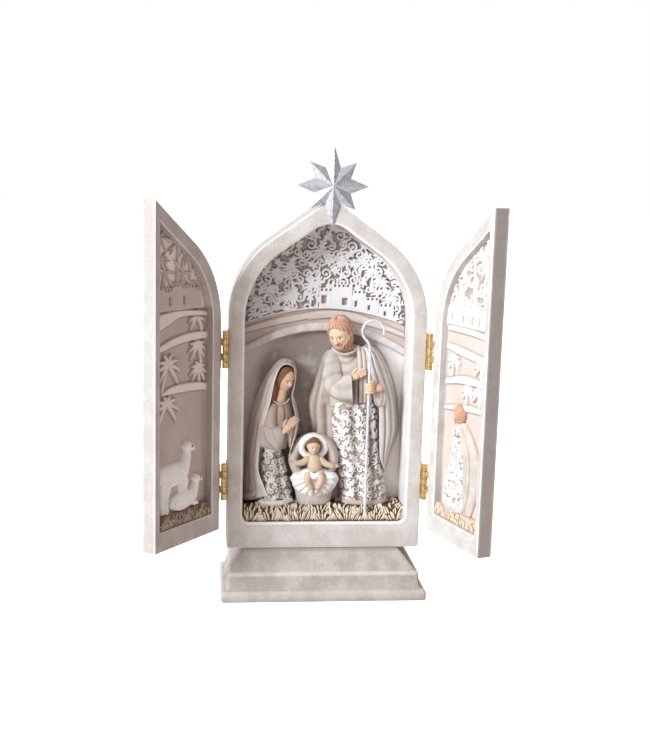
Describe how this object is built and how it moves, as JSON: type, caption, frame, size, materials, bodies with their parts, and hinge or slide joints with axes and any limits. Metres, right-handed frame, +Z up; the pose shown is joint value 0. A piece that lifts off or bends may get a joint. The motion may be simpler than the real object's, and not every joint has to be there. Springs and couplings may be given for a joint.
{
  "type": "nativity triptych",
  "caption": "Pointed-arch nativity triptych of cast resin on a moulded plinth, with hinged relief doors, a family group in its recess and a star at its point.",
  "frame": {"origin": "centre of the underside of the base felt", "axes": "+Z up, -Y out of the open front of the recess, +X to the right door as seen from the front"},
  "size_m": [0.1859, 0.0928, 0.2571],
  "materials": {
    "ivory_resin": "cast resin, ivory paint with a rubbed grey-brown wash",
    "sand_resin": "cast resin, sand-brown paint",
    "white_resin": "cast resin, white paint",
    "robe_resin": "cast resin, off-white and taupe paint",
    "skin_resin": "cast resin, skin-coloured paint",
    "straw_resin": "cast resin, straw paint with dark gaps",
    "silver_metal": "silver-grey paint",
    "brass": "plated sheet, satin",
    "steel": "plain",
    "felt": "felt"
  },
  "bodies": {
    "triptych_case": {"plinth": "ivory_resin", "base_felt": "felt", "plinth_dowels": "steel", "case": "ivory_resin", "star": "silver_metal", "star_pin": "steel", "sky_panel": "sand_resin", "sky_tracery": "white_resin", "hill_bands": "ivory_resin", "grotto_band": "white_resin", "kneeling_mother": "robe_resin", "standing_father": "robe_resin", "crook": "silver_metal", "manger": "robe_resin", "infant": "skin_resin", "straw_bed": "straw_resin", "upper_left_case_leaf": "brass", "lower_left_case_leaf": "brass", "upper_right_case_leaf": "brass", "lower_right_case_leaf": "brass", "upper_left_hinge_pin": "brass", "lower_left_hinge_pin": "brass", "upper_right_hinge_pin": "brass", "lower_right_hinge_pin": "brass", "case_hinge_screws": "brass"},
    "left_door": {"left_door_panel": "ivory_resin", "left_palm_tracery": "white_resin", "left_town": "white_resin", "left_hills": "ivory_resin", "standing_lamb": "white_resin", "lying_lamb": "white_resin", "left_straw": "straw_resin", "upper_left_door_leaf": "brass", "lower_left_door_leaf": "brass", "left_door_screws": "brass"},
    "right_door": {"right_door_panel": "ivory_resin", "right_palm_tracery": "white_resin", "right_town": "white_resin", "right_hills": "ivory_resin", "shepherd": "robe_resin", "right_straw": "straw_resin", "upper_right_door_leaf": "brass", "lower_right_door_leaf": "brass", "right_door_screws": "brass"}
  },
  "joints": [
    {"name": "left_door_hinge", "type": "hinge", "parent": "triptych_case", "child": "left_door", "pos_m": [-0.0578, -0.01255, 0.1055], "axis": [0, 0, -1], "range_deg": [-128, 52]},
    {"name": "right_door_hinge", "type": "hinge", "parent": "triptych_case", "child": "right_door", "pos_m": [0.0578, -0.01255, 0.1055], "axis": [0, 0, 1], "range_deg": [-108, 72]}
  ]
}
